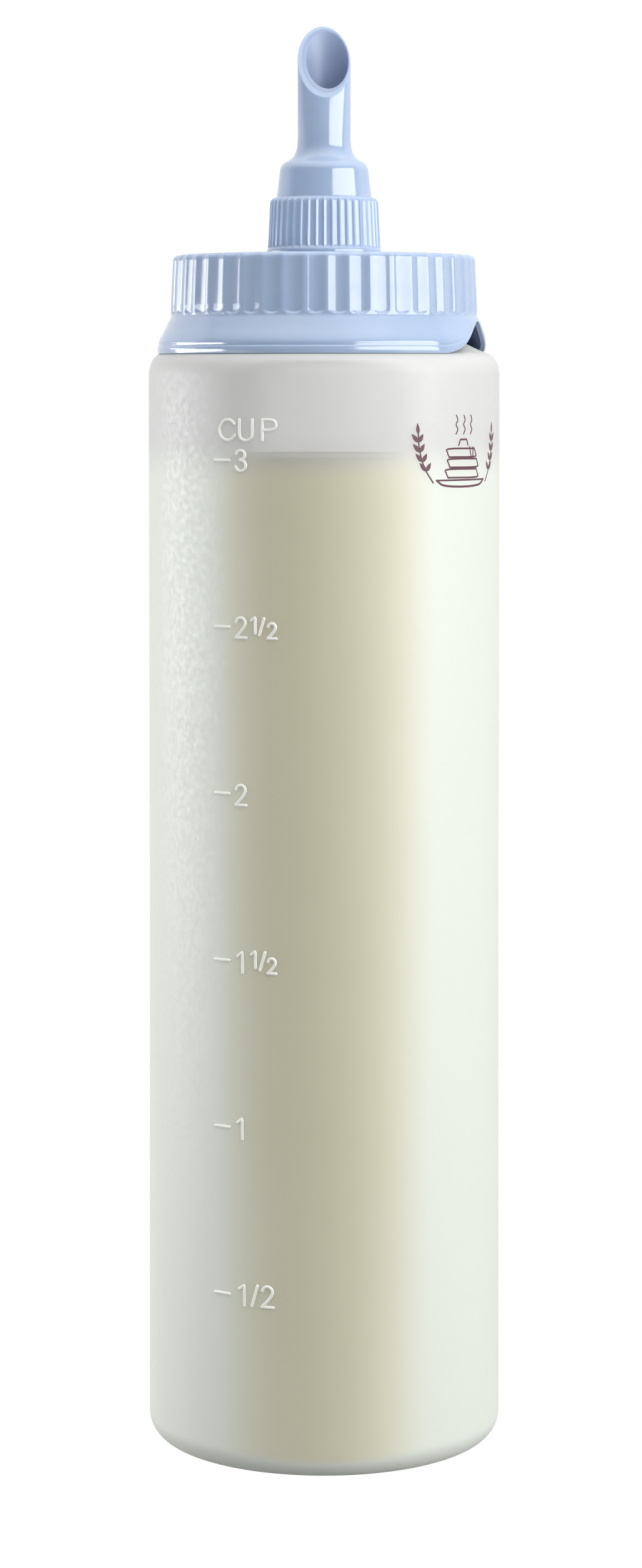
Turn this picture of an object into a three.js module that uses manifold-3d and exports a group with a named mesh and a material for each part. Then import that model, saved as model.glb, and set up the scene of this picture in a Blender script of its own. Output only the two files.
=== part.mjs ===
// A squeeze bottle for pouring batter: a blow-moulded bottle, a screw cap with a flared skirt,
// a sealing ring under the cap, a pull-off nozzle with a slanted mouth, and the batter inside.
// Millimetres, +Z up, the origin at the middle of the base. Azimuths are in degrees from the
// front (-Y) towards +X.
import * as THREE from "three";
import Module from "manifold-3d";
import { mergeVertices } from "three/addons/utils/BufferGeometryUtils.js";

// Clearances
const GAP = 0.3; // between pieces that touch
const THREAD_GAP = 0.5; // from a thread's crest to the wall of the other piece

// Bottle
const BODY_R = 35.2; // at the shoulder
const WAIST_IN = 0.2; // how far the lower half is drawn in
const BODY_H = 212.6; // up to the end of the straight side
const FULL_H = 12.6; // its top length, at full width
const TAPER_H = 90; // the length below that, over which it draws in
const WALL = 0.8;
const FOOT_R = 5; // corner between the side and the standing ring
const RING_WIDTH = 2; // flat standing ring
const PUSH_UP = 2.2; // height of the base's middle above the standing ring
const SHOULDER_H = 7.3; // from the straight side's end up to the neck's root
const NECK_H = 12.6;
const NECK_R = 26.4;
const NECK_WALL = 1.5;
const MOUTH_ROUND = 0.4;

// Closure thread, on the neck and in the cap
const PITCH = 4;
const THREAD_DEPTH = 1.4;
const THREAD_ROOT = 2.2; // width at the root
const THREAD_CREST = 1.0; // width at the crest
const THREAD_UP = 4.5; // middle of the neck's thread at its lower end, above the neck's root
const THREAD_SINK = 0.5; // how deep the thread's root lies in its wall
const NECK_TURNS = 1.25;
const CAP_TURNS = 1.1;

// Sealing ring
const SEAL_T = 1.8;
const SEAL_WIDTH = 6.6;
const SEAL_CHAMFER = 0.3;

// Cap
const CAP_WALL = 2.05; // over the thread's groove, at the deck
const CAP_DRAFT = 0.4; // how much wider the cap is at the flutes' end
const DECK_T = 1.4;
const DECK_ROUND = 1.0;
const FLUTES = 44;
const FLUTE_DEPTH = 0.42;
const FLUTE_FADE = 1.9; // height over which a flute deepens from its rounded end
const RIDGE_AZ = 1; // one ridge between two flutes
const LIP_UP = 4.3; // lower edge of the skirt, above the end of the bottle's straight side
const LIP_HEIGHT = 1.25; // bead along the lower edge
const LIP_OUT = 0.12; // how far the bead stands out
const FLARE_H = 7.1;
const FLARE_OUT = 2.65;
const SKIRT_T = 1.15; // wall of the flared part
const NOTCH_AZ = 82; // middle of the arched notch
const NOTCH_HALF = 38; // half its width, in degrees
const NOTCH_DROP = 0.8; // its top lies this far below the flare's top
const NOTCH_BEAD = 0.5; // height of the bead there

// Spigot
const SPIGOT_R = 9.0;
const SPIGOT_WALL = 2.2;
const SPIGOT_SHORT = 0.9; // it ends this far below the grip's top
const SPIGOT_CHAMFER = 0.5;

// Nozzle
const GRIP_WALL = 2.0; // with the ribs, at the grip's lower end
const GRIP_H = 8.7;
const GRIP_DRAFT = 0.45;
const FOOT_BAND = 1.8; // smooth band under the ribs
const FOOT_STEP = 0.2; // how far the band stands out
const RIBS = 44;
const RIB_HEIGHT = 0.28;
const SHOULDER_IN = 1.35; // flat shoulder between the grip and the cone
const CHAMFER_H = 0.9;
const CONE_H = 5.6;
const CONE_DRAFT = 0.6;
const CONE_WALL = 1.2;
const SWEEP_H = 6.2; // hollow curve from the cone to the tube
const TUBE_R = 5.33;
const TUBE_WALL = 1.08;
const TUBE_H = 29.5; // from the cone's top to the tip
const CUT_DEG = 55; // slant of the mouth
const CUT_AZ = 14; // its low side
const RIM_ROUND = 0.12;

// Contents
const HEADSPACE = 16.4; // from the batter's top to the straight side's end

// Moulded edges
const EDGE = 0.2; // rounding outside
const CHAMFER = 0.4; // inside the cap

// Smoothness
const BOTTLE_SIDES = 48;
const SKIRT_SIDES = 2 * FLUTES;
const THREAD_STEPS = 40; // in a turn
const RUN_OUT = 5; // steps over which a thread rises from its wall

// Sizes that follow
const SIDE_Z = BODY_H - FULL_H;
const WAIST_Z = SIDE_Z - TAPER_H;
const FILL_Z = BODY_H - HEADSPACE;
const WAIST_R = BODY_R - WAIST_IN;
const RING_R = WAIST_R - FOOT_R; // outer edge of the standing ring
const DOME_R = RING_R - RING_WIDTH; // inner edge
const NECK_ROOT_Z = BODY_H + SHOULDER_H;
const MOUTH_Z = NECK_ROOT_Z + NECK_H;
const THREAD_Z = NECK_ROOT_Z + THREAD_UP;
const NECK_CREST_R = NECK_R + THREAD_DEPTH;
const CAP_CREST_R = NECK_R + THREAD_GAP;
const CAP_BORE_R = NECK_CREST_R + THREAD_GAP;
const CAP_TOP_R = CAP_BORE_R + CAP_WALL;
const CAP_LOW_R = CAP_TOP_R + CAP_DRAFT;
const SEAL_Z = MOUTH_Z + GAP;
const SEAL_R = CAP_CREST_R - GAP;
const UNDER_Z = SEAL_Z + SEAL_T + GAP; // underside of the deck
const DECK_Z = UNDER_Z + DECK_T;
const LIP_Z = BODY_H + LIP_UP;
const FLARE_Z = LIP_Z + FLARE_H;
const NOTCH_TOP_Z = FLARE_Z - NOTCH_DROP;
const GRIP_BASE_Z = DECK_Z + GAP;
const GRIP_LOW_Z = GRIP_BASE_Z + FOOT_BAND;
const GRIP_TOP_Z = GRIP_LOW_Z + GRIP_H;
const SPIGOT_TOP_Z = GRIP_TOP_Z - SPIGOT_SHORT;
const SPIGOT_BORE = SPIGOT_R - SPIGOT_WALL;
const GRIP_BORE = SPIGOT_R + GAP;
const GRIP_LOW_R = GRIP_BORE + GRIP_WALL;
const GRIP_TOP_R = GRIP_LOW_R - GRIP_DRAFT;
const FOOT_BAND_R = GRIP_LOW_R + FOOT_STEP;
const STOP_Z = SPIGOT_TOP_Z + GAP; // inner ledge that lands on the spigot
const CONE_Z = GRIP_TOP_Z + CHAMFER_H;
const CONE_TOP_Z = CONE_Z + CONE_H;
const CONE_LOW_R = GRIP_TOP_R - SHOULDER_IN;
const CONE_TOP_R = CONE_LOW_R - CONE_DRAFT;
const TUBE_BORE = TUBE_R - TUBE_WALL;
const TIP_Z = CONE_TOP_Z + TUBE_H;

// Profiles
// Pushed-up base: share of its radius, share of its height.
const DOME = [
  [0, 1],
  [0.8, 0.65],
  [0.95, 0.25],
  [1, 0],
];
// Shoulder: in from the side, up from the end of the straight side.
const SHOULDER = [
  [0, 0],
  [0.14, 1.0],
  [0.5, 2.2],
  [1.1, 3.2],
  [2.1, 4.0],
  [4.2, 4.8],
];
const INNER_SHOULDER = [
  [4.6, 4.0],
  [2.6, 3.2],
  [1.4, 2.0],
  [WALL, -0.4],
];
// Hollow curve at the neck's root: out from the neck, down from the root.
const ROOT = [
  [1.4, 0.9],
  [0.3, 0.3],
  [0, -0.3],
];
const INNER_ROOT = [
  [0, 0],
  [0.5, 1.1],
  [2.5, 1.9],
];
// Flare of the skirt: share of its height from the top, share of its width.
const FLARE = [
  [0, 0.02],
  [0.11, 0.17],
  [0.28, 0.38],
  [0.45, 0.62],
  [0.61, 0.85],
  [0.73, 0.96],
  [0.87, 1],
  [1, 1],
];
// Sweep from the cone to the tube: share of the way in, share of its height.
const SWEEP = [
  [0, 0],
  [0.06, 0.1],
  [0.21, 0.21],
  [0.48, 0.3],
  [0.76, 0.43],
  [0.94, 0.68],
  [1, 1],
];

const wasm = await Module();
wasm.setup();

const rad = (deg) => (deg * Math.PI) / 180;
const lerp = (a, b, t) => a + (b - a) * t;

// Evenly spaced azimuths, in radians.
const around = (n, startDeg = 0) =>
  Array.from({ length: n }, (_, j) => rad(startDeg) + (j * 2 * Math.PI) / n);

// Azimuths in `count` like groups round the axis, at the given shares of a group.
const grouped = (count, shares, startDeg) =>
  Array.from({ length: count * shares.length }, (_, j) => {
    const turn = (Math.floor(j / shares.length) + shares[j % shares.length]) / count;
    return rad(startDeg) + turn * 2 * Math.PI;
  });

// Points of an arc about (cr, cz), with angles in degrees from +r towards +z.
const arc = (cr, cz, radius, from, to, steps) =>
  Array.from({ length: steps + 1 }, (_, i) => {
    const a = rad(lerp(from, to, i / steps));
    return [cr + radius * Math.cos(a), cz + radius * Math.sin(a)];
  });

// A row is { az: [..], at: (azimuth, index) => [r, z] }. The skin runs from row to row, anticlockwise
// in the r-z plane, and neighbouring rows may differ in count by a whole factor.
const row = (az, at) => ({ az, at: typeof at === "function" ? at : () => at });

function skin(rows, ring) {
  const positions = [];
  const starts = [];
  for (const { az, at } of rows) {
    starts.push(positions.length / 3);
    az.forEach((a, j) => {
      const [r, z] = at(a, j);
      positions.push(r * Math.sin(a), -r * Math.cos(a), z);
    });
  }
  const index = [];
  const stitch = (i, k) => {
    const n = rows[i].az.length;
    const m = rows[k].az.length;
    const low = (j) => starts[i] + (j % n);
    const high = (j) => starts[k] + (j % m);
    if (n === m)
      for (let j = 0; j < n; j++) {
        index.push(low(j), low(j + 1), high(j + 1));
        index.push(low(j), high(j + 1), high(j));
      }
    else if (n > m) {
      const f = n / m;
      for (let j = 0; j < n; j++) index.push(low(j), low(j + 1), high(Math.floor((j + f / 2) / f)));
      if (m > 1)
        for (let j = 0; j < m; j++) index.push(high(j), low(j * f + Math.floor(f / 2)), high(j + 1));
    } else {
      const f = m / n;
      for (let j = 0; j < m; j++) index.push(high(j), low(Math.floor((j + f / 2) / f)), high(j + 1));
      if (n > 1)
        for (let j = 0; j < n; j++) index.push(low(j), low(j + 1), high(j * f + Math.floor(f / 2)));
    }
  };
  for (let i = 0; i + 1 < rows.length; i++) stitch(i, i + 1);
  if (ring) stitch(rows.length - 1, 0);
  const g = new THREE.BufferGeometry();
  g.setAttribute("position", new THREE.Float32BufferAttribute(positions, 3));
  g.setIndex(index);
  return g;
}

// A body of revolution whose profile starts and ends on the axis.
const turned = (points, sides) =>
  skin(
    points.map(([r, z]) => row(r === 0 ? [0] : around(sides), [r, z])),
    false,
  );

// A ring whose profile closes on itself.
const hoop = (points, sides) =>
  skin(
    points.map((p) => row(around(sides), p)),
    true,
  );

// A helical thread of trapezoidal section, its height run out to nothing at both ends.
function thread({ rootR, crestR, z, turns }) {
  const outward = Math.sign(crestR - rootR);
  const steps = Math.round(turns * THREAD_STEPS);
  const base = rootR - outward * THREAD_SINK;
  const positions = [];
  for (let k = 0; k <= steps; k++) {
    const share = Math.min(1, k / RUN_OUT, (steps - k) / RUN_OUT);
    const turn = k / THREAD_STEPS;
    const a = turn * 2 * Math.PI;
    const zc = z + turn * PITCH;
    const crest = lerp((base + rootR) / 2, crestR, share);
    const section = [
      [base, zc - THREAD_ROOT / 2],
      [crest, zc - THREAD_CREST / 2],
      [crest, zc + THREAD_CREST / 2],
      [base, zc + THREAD_ROOT / 2],
    ];
    if (outward < 0) section.reverse();
    for (const [r, h] of section) positions.push(r * Math.sin(a), -r * Math.cos(a), h);
  }
  const index = [];
  for (let k = 0; k < steps; k++)
    for (let i = 0; i < 4; i++) {
      const p = 4 * k + i;
      const q = 4 * k + ((i + 1) % 4);
      index.push(p, p + 4, q + 4);
      index.push(p, q + 4, q);
    }
  const e = 4 * steps;
  index.push(0, 1, 2, 0, 2, 3);
  index.push(e, e + 2, e + 1, e, e + 3, e + 2);
  const g = new THREE.BufferGeometry();
  g.setAttribute("position", new THREE.Float32BufferAttribute(positions, 3));
  g.setIndex(index);
  return g;
}

function toSolid(geometry) {
  const g = geometry.clone();
  g.deleteAttribute("normal");
  g.deleteAttribute("uv");
  const merged = mergeVertices(g, 1e-4);
  return new wasm.Manifold(
    new wasm.Mesh({
      numProp: 3,
      vertProperties: new Float32Array(merged.attributes.position.array),
      triVerts: new Uint32Array(merged.index.array),
    }),
  );
}

function toGeometry(solid) {
  const m = solid.getMesh();
  const g = new THREE.BufferGeometry();
  g.setAttribute("position", new THREE.BufferAttribute(new Float32Array(m.vertProperties), 3));
  g.setIndex(new THREE.BufferAttribute(new Uint32Array(m.triVerts), 1));
  g.computeVertexNormals();
  return g;
}

// Bottle
const dome = (lift) => DOME.map(([share, height]) => [share * DOME_R, PUSH_UP * height + lift]);
const inFromSide = ([inward, up]) => [BODY_R - inward, BODY_H + up];
const bottleShell = turned(
  [
    ...dome(0),
    ...arc(RING_R, FOOT_R, FOOT_R, -90, 0, 5),
    [WAIST_R, WAIST_Z],
    [BODY_R, SIDE_Z],
    ...SHOULDER.map(inFromSide),
    ...ROOT.map(([out, down]) => [NECK_R + out, NECK_ROOT_Z - down]),
    [NECK_R, MOUTH_Z - MOUTH_ROUND],
    [NECK_R - MOUTH_ROUND, MOUTH_Z],
    [NECK_R - NECK_WALL + MOUTH_ROUND, MOUTH_Z],
    [NECK_R - NECK_WALL, MOUTH_Z - MOUTH_ROUND],
    ...INNER_ROOT.map(([out, down]) => [NECK_R - NECK_WALL + out, NECK_ROOT_Z - down]),
    ...INNER_SHOULDER.map(inFromSide),
    [BODY_R - WALL, SIDE_Z],
    [WAIST_R - WALL, WAIST_Z],
    ...arc(RING_R, FOOT_R, FOOT_R - WALL, 0, -90, 4),
    ...dome(WALL).reverse(),
  ],
  BOTTLE_SIDES,
);
const neckThread = thread({
  rootR: NECK_R,
  crestR: NECK_CREST_R,
  z: THREAD_Z,
  turns: NECK_TURNS,
});
const bottle = toSolid(bottleShell).add(toSolid(neckThread));

// Batter, a gap inside the wall
const INSET = WALL + GAP;
const fillShare = (FILL_Z - WAIST_Z) / (SIDE_Z - WAIST_Z);
const batter = turned(
  [
    ...dome(INSET),
    ...arc(RING_R, FOOT_R, FOOT_R - INSET, -90, 0, 4),
    [WAIST_R - INSET, WAIST_Z],
    [lerp(WAIST_R, BODY_R, fillShare) - INSET, FILL_Z],
    [0, FILL_Z],
  ],
  BOTTLE_SIDES,
);

// Cap
// Outer radius of the skirt at a height.
function flareR(z) {
  const down = (FLARE_Z - z) / FLARE_H;
  const i = Math.max(1, FLARE.findIndex(([d]) => d >= down));
  const [d0, w0] = FLARE[i - 1];
  const [d1, w1] = FLARE[i];
  return CAP_LOW_R + FLARE_OUT * lerp(w0, w1, (down - d0) / (d1 - d0));
}

// 1 in the middle of the notch, falling in a smooth arch to 0 at its ends.
function notchShare(azimuth) {
  const off = Math.abs((((azimuth * 180) / Math.PI - NOTCH_AZ + 540) % 360) - 180);
  return (1 + Math.cos(Math.PI * Math.min(1, off / NOTCH_HALF))) / 2;
}
const edgeZ = (azimuth) => lerp(LIP_Z, NOTCH_TOP_Z, notchShare(azimuth));
const beadTop = (azimuth) => edgeZ(azimuth) + lerp(LIP_HEIGHT, NOTCH_BEAD, notchShare(azimuth));

const fluteAz = grouped(FLUTES, [0, 0.25, 0.5, 0.75], RIDGE_AZ);
const skirtAz = around(SKIRT_SIDES, RIDGE_AZ);
const deckAz = around(FLUTES, RIDGE_AZ);

// A row over the flutes, with its depth at a flute's quarters and middle as shares of the full one.
const flute = (r, z, quarter, middle) =>
  row(fluteAz, (a, j) => [r - FLUTE_DEPTH * [0, quarter, middle, quarter][j % 4], z]);
const deck = (r, z) => row(deckAz, [r, z]);
// A row on the skirt, `share` of the way from the flare's top to the bead.
const skirt = (share, inset = 0, lift = 0) =>
  row(skirtAz, (a) => {
    const z = lerp(FLARE_Z, beadTop(a), share);
    return [flareR(z) - inset, z + lift];
  });
// A row on the bead, `out` from the flare and `share` of the way up the bead.
const bead = (out, share) =>
  row(skirtAz, (a) => [flareR(beadTop(a)) + out, lerp(edgeZ(a), beadTop(a), share)]);

const capShell = skin(
  [
    deck(SPIGOT_BORE, UNDER_Z),
    deck(CAP_BORE_R - CHAMFER, UNDER_Z),
    deck(CAP_BORE_R, UNDER_Z - CHAMFER),
    deck(CAP_BORE_R, FLARE_Z + 2 * CHAMFER),
    skirt(0.3, SKIRT_T, EDGE),
    skirt(0.65, SKIRT_T, EDGE),
    bead(-SKIRT_T, 1),
    bead(EDGE - SKIRT_T, 0.1),
    bead(-2 * EDGE, 0),
    bead(LIP_OUT, 0.35),
    bead(LIP_OUT, 0.8),
    skirt(1),
    skirt(0.72),
    skirt(0.44),
    skirt(0.2),
    row(skirtAz, [CAP_LOW_R, FLARE_Z + EDGE / 2]),
    flute(CAP_LOW_R, FLARE_Z + 0.35 * FLUTE_FADE, 0, 0.6),
    flute(CAP_LOW_R, FLARE_Z + FLUTE_FADE, 0.75, 1),
    flute(CAP_TOP_R, DECK_Z - 0.9 * DECK_ROUND, 0.75, 1),
    flute(CAP_TOP_R - 0.3 * DECK_ROUND, DECK_Z - 0.3 * DECK_ROUND, 0.75, 1),
    deck(CAP_TOP_R - DECK_ROUND, DECK_Z),
    deck(SPIGOT_R + GAP, DECK_Z),
    deck(SPIGOT_R, DECK_Z + GAP),
    deck(SPIGOT_R, SPIGOT_TOP_Z - SPIGOT_CHAMFER),
    deck(SPIGOT_R - SPIGOT_CHAMFER, SPIGOT_TOP_Z),
    deck(SPIGOT_BORE, SPIGOT_TOP_Z),
  ],
  true,
);
const capThread = thread({
  rootR: CAP_BORE_R,
  crestR: CAP_CREST_R,
  z: THREAD_Z + PITCH / 2,
  turns: CAP_TURNS,
});
const cap = toSolid(capShell).add(toSolid(capThread));

// Sealing ring, between the bottle's mouth and the cap's deck
const seal = hoop(
  [
    [SEAL_R - SEAL_WIDTH, SEAL_Z],
    [SEAL_R - SEAL_CHAMFER, SEAL_Z],
    [SEAL_R, SEAL_Z + SEAL_CHAMFER],
    [SEAL_R, SEAL_Z + SEAL_T - SEAL_CHAMFER],
    [SEAL_R - SEAL_CHAMFER, SEAL_Z + SEAL_T],
    [SEAL_R - SEAL_WIDTH, SEAL_Z + SEAL_T],
  ],
  BOTTLE_SIDES,
);

// Nozzle
const ribAz = grouped(RIBS, [0, 0.2, 0.5, 0.8], 0);
const tubeAz = around(RIBS);
// A row over the ribs, with the grooves between them as a share of their full depth.
const rib = (r, z, share) =>
  row(ribAz, (a, j) => [r - RIB_HEIGHT * (j % 4 === 0 ? 0 : share), z]);
const tube = (r, z) => row(tubeAz, [r, z]);
// A row on the slanted mouth, `drop` below its plane.
const rim = (r, drop) =>
  row(tubeAz, (a) => {
    const run = TUBE_R + r * Math.cos(a - rad(CUT_AZ));
    return [r, TIP_Z - Math.tan(rad(CUT_DEG)) * run - drop];
  });
// The sweep between a cone's top radius and a tube's radius, from a height.
const sweep = (coneR, tubeR, z) =>
  SWEEP.map(([inward, up]) => tube(lerp(coneR, tubeR, inward), z + up * SWEEP_H));

const nozzle = skin(
  [
    tube(GRIP_BORE, GRIP_BASE_Z),
    tube(FOOT_BAND_R - EDGE, GRIP_BASE_Z),
    tube(FOOT_BAND_R, GRIP_BASE_Z + EDGE),
    tube(FOOT_BAND_R, GRIP_LOW_Z - 2 * FOOT_STEP),
    rib(GRIP_LOW_R, GRIP_LOW_Z, 0),
    rib(GRIP_LOW_R, GRIP_LOW_Z + RIB_HEIGHT, 1),
    rib(GRIP_TOP_R, GRIP_TOP_Z, 1),
    rib(GRIP_TOP_R - 0.4 * CHAMFER_H, GRIP_TOP_Z + 0.65 * CHAMFER_H, 0.5),
    tube(GRIP_TOP_R - CHAMFER_H, CONE_Z),
    tube(CONE_LOW_R + EDGE / 2, CONE_Z),
    tube(CONE_LOW_R, CONE_Z + EDGE),
    ...sweep(CONE_TOP_R, TUBE_R, CONE_TOP_Z),
    rim(TUBE_R, RIM_ROUND),
    rim(TUBE_R - RIM_ROUND, 0),
    rim(TUBE_BORE + RIM_ROUND, 0),
    rim(TUBE_BORE, RIM_ROUND),
    ...sweep(CONE_TOP_R - CONE_WALL, TUBE_BORE, CONE_TOP_Z - CONE_WALL).reverse(),
    tube(CONE_LOW_R - CONE_WALL, STOP_Z),
    tube(GRIP_BORE, STOP_Z),
  ],
  true,
);

// Materials and nodes
const bluePlastic = () =>
  new THREE.MeshStandardMaterial({ color: 0xa9bad8, roughness: 0.28, metalness: 0 });
const frosted = new THREE.MeshStandardMaterial({ color: 0xe3e6df, roughness: 0.45, metalness: 0 });
const foam = new THREE.MeshStandardMaterial({ color: 0xf2f2ee, roughness: 0.6, metalness: 0 });
const cream = new THREE.MeshStandardMaterial({ color: 0xc9c3a6, roughness: 0.55, metalness: 0 });

const part = new THREE.Group();
part.name = "batter_dispenser";
const put = (name, geometry, material) => {
  geometry.computeVertexNormals();
  const mesh = new THREE.Mesh(geometry, material);
  mesh.name = name;
  part.add(mesh);
};

put("bottle", toGeometry(bottle), frosted);
put("screw_cap", toGeometry(cap), bluePlastic());
put("cap_seal", seal, foam);
put("nozzle", nozzle, bluePlastic());
put("batter", batter, cream);

export default part;
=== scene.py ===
"""A tall squeeze bottle of batter with a pale blue screw cap and a slanted nozzle.

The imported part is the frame. The moulded pieces are drawn again here on a finer mesh, at the part's
sizes but for small forms of the cap and the nozzle, and get their raised marks, print and finishes.
Sizes are in millimetres until a mesh is made, +Z is up, and azimuths run from the front (-Y)
towards +X.
"""

import math

import bmesh
import bpy
import numpy as np
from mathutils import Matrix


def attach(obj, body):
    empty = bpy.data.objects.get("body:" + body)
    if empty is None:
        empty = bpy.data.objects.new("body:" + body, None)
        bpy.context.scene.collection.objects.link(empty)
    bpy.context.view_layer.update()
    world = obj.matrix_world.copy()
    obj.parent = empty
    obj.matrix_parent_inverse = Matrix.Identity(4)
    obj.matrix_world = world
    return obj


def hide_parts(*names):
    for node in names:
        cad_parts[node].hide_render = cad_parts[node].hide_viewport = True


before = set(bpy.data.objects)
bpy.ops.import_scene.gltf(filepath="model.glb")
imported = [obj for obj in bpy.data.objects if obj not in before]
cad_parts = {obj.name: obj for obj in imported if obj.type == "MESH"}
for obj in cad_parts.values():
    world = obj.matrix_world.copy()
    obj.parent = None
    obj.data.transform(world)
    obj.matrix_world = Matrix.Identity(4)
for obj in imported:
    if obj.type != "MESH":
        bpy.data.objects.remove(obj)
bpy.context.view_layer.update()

MM = 0.001
TAU = 2 * math.pi

# Bottle
BODY_R = 35.2
WAIST_R = 35.0
WAIST_Z = 110.0
SIDE_Z = 200.0
BODY_H = 212.6
WALL = 0.8
FOOT_R = 5.0
RING_R = WAIST_R - FOOT_R
RING_WIDTH = 2.0
PUSH_UP = 2.2
NECK_R = 26.4
NECK_WALL = 1.5
NECK_ROOT_Z = 219.9
MOUTH_Z = 232.5
MOUTH_ROUND = 0.4
FILL_Z = 196.2
GAP = 0.3
BOTTLE_SIDES = 192
BATTER_SIDES = 128

# Thread
PITCH = 4.0
THREAD_DEPTH = 1.4
THREAD_ROOT = 2.2
THREAD_CREST = 1.0
THREAD_Z = 224.4
THREAD_GAP = 0.5
NECK_TURNS = 1.25
CAP_TURNS = 1.1

# Cap
CAP_BORE_R = NECK_R + THREAD_DEPTH + THREAD_GAP
CAP_TOP_R = 30.35
CAP_LOW_R = 30.75
DECK_Z = 236.3
UNDER_Z = 234.9
FLUTES = 44
FLUTE_DEPTH = 0.42
FLUTE_FADE = 1.9
FLUTE_STEPS = 12
RIDGE_SHARE = 0.06  # of a flute's width, flat on each side of its ridge
U_END = 0.8  # how much later a flute starts at its sides than in its middle
EDGE_ROUND = 1.0
RIDGE_AZ = 1.0
LIP_Z = 216.9
LIP_HEIGHT = 1.25
FLARE_Z = 224.0
FLARE_OUT = 2.65
SKIRT_T = 1.15
NOTCH_AZ = 82.0
NOTCH_HALF = 38.0
NOTCH_BACK_HALF = 26.0
NOTCH_TOP_Z = 223.2
NOTCH_BEAD = 0.5

# Spigot and nozzle
SPIGOT_R = 9.0
SPIGOT_BORE = 6.8
SPIGOT_TOP_Z = 246.2
GRIP_BASE_Z = 236.6
GRIP_LOW_Z = 237.8
GRIP_TOP_Z = 247.1
GRIP_LOW_R = 11.3
GRIP_TOP_R = 10.85
FOOT_BAND_R = 11.5
RIBS = 44
RIB_HEIGHT = 0.28
RIB_STEPS = 8
CONE_Z = 248.0
CONE_TOP_Z = 253.6
CONE_LOW_R = 9.5
CONE_TOP_R = 8.9
CONE_WALL = 1.2
SWEEP_H = 6.2
TUBE_R = 5.33
TUBE_BORE = 4.25
CUT_DEG = 55.0
CUT_AZ = 3.0
TIP_Z = 283.07
MOUTH_X = 0.6  # the bore's middle at the mouth, off the tube's
MOUTH_Y = 0.3
MOUTH_EDGE = 0.14

# Camera: level, with upright lines kept upright by the lens shift
PICTURE_W, PICTURE_H = 1027, 2510
AXIS_X = 518.5  # where the bottle's axis stands, in pixels
HORIZON_Y = 600.0
CAMERA_Z = 212.4
DISTANCE = 750.0
MM_PER_PIXEL = 0.12567  # at the axis
SENSOR = 36.0


def make_camera():
    data = bpy.data.cameras.new("camera")
    data.sensor_width = SENSOR
    data.lens = SENSOR * (DISTANCE / MM_PER_PIXEL) / PICTURE_H
    data.shift_x = (PICTURE_W / 2 - AXIS_X) / PICTURE_H
    data.shift_y = (HORIZON_Y - PICTURE_H / 2) / PICTURE_H
    camera = bpy.data.objects.new("camera", data)
    bpy.context.scene.collection.objects.link(camera)
    camera.location = (0, -DISTANCE * MM, CAMERA_Z * MM)
    camera.rotation_euler = (math.radians(90), 0, 0)
    bpy.context.scene.camera = camera


make_camera()


# Mesh helpers
def smoothstep(t):
    t = np.clip(t, 0, 1)
    return t * t * (3 - 2 * t)


def add_object(name, shape, material, sharp_deg=35.0):
    """An object from (points in millimetres, faces), smooth but for edges sharper than sharp_deg."""
    points, faces = shape
    mesh = bpy.data.meshes.new(name)
    mesh.from_pydata((np.asarray(points) * MM).tolist(), [], faces)
    bm = bmesh.new()
    bm.from_mesh(mesh)
    bmesh.ops.recalc_face_normals(bm, faces=bm.faces)
    for edge in bm.edges:
        edge.smooth = edge.calc_face_angle(0) < math.radians(sharp_deg)
    for face in bm.faces:
        face.smooth = True
    bm.to_mesh(mesh)
    bm.free()
    mesh.materials.append(material)
    piece = bpy.data.objects.new(name, mesh)
    bpy.context.scene.collection.objects.link(piece)
    return piece


def joined(shapes):
    """Several (points, faces) as one."""
    points, faces, start = [], [], 0
    for p, f in shapes:
        points.append(p)
        faces += [tuple(i + start for i in face) for face in f]
        start += len(p)
    return np.concatenate(points), faces


def ring(az, r, z):
    """A row of a skin: r and z may be numbers or arrays over the azimuths."""
    r, z = (np.broadcast_to(np.asarray(value, float), az.shape) for value in (r, z))
    return az, r, z


def skin(rows, closed):
    """Quads from row to row. A row of one point is a tip on the axis."""
    points = [np.stack([r * np.sin(az), -r * np.cos(az), z], 1) for az, r, z in rows]
    starts = np.cumsum([0] + [len(p) for p in points])
    pairs = [(i, i + 1) for i in range(len(rows) - 1)]
    if closed:
        pairs.append((len(rows) - 1, 0))
    faces = []
    for i, k in pairs:
        n, m = len(points[i]), len(points[k])
        a, b = int(starts[i]), int(starts[k])
        for j in range(max(n, m)):
            near = (j + 1) % max(n, m)
            if n == m:
                faces.append((a + j, a + near, b + near, b + j))
            elif n == 1:
                faces.append((a, b + near, b + j))
            else:
                faces.append((a + j, a + near, b))
    return np.concatenate(points), faces


def turned(profile, sides):
    """A body of revolution from its (r, z) profile, which starts and ends on the axis."""
    az = np.arange(sides) * TAU / sides
    return skin([ring(np.zeros(1) if r == 0 else az, r, z) for r, z in profile], closed=False)


def arc(cr, cz, radius, start, end, steps):
    angles = np.radians(np.linspace(start, end, steps + 1))
    return [(cr + radius * math.cos(a), cz + radius * math.sin(a)) for a in angles]


def curve_through(points, per_span):
    """A smooth curve through points, with per_span steps between each two."""
    pts = [np.array(p, float) for p in points]
    pts = [2 * pts[0] - pts[1], *pts, 2 * pts[-1] - pts[-2]]
    out = []
    for p0, p1, p2, p3 in zip(pts, pts[1:], pts[2:], pts[3:]):
        for t in np.arange(per_span) / per_span:
            square = 2 * p0 - 5 * p1 + 4 * p2 - p3
            cube = 3 * p1 - p0 - 3 * p2 + p3
            out.append(0.5 * (2 * p1 + (p2 - p0) * t + square * t**2 + cube * t**3))
    out.append(pts[-2])
    return [tuple(p) for p in out]


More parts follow.
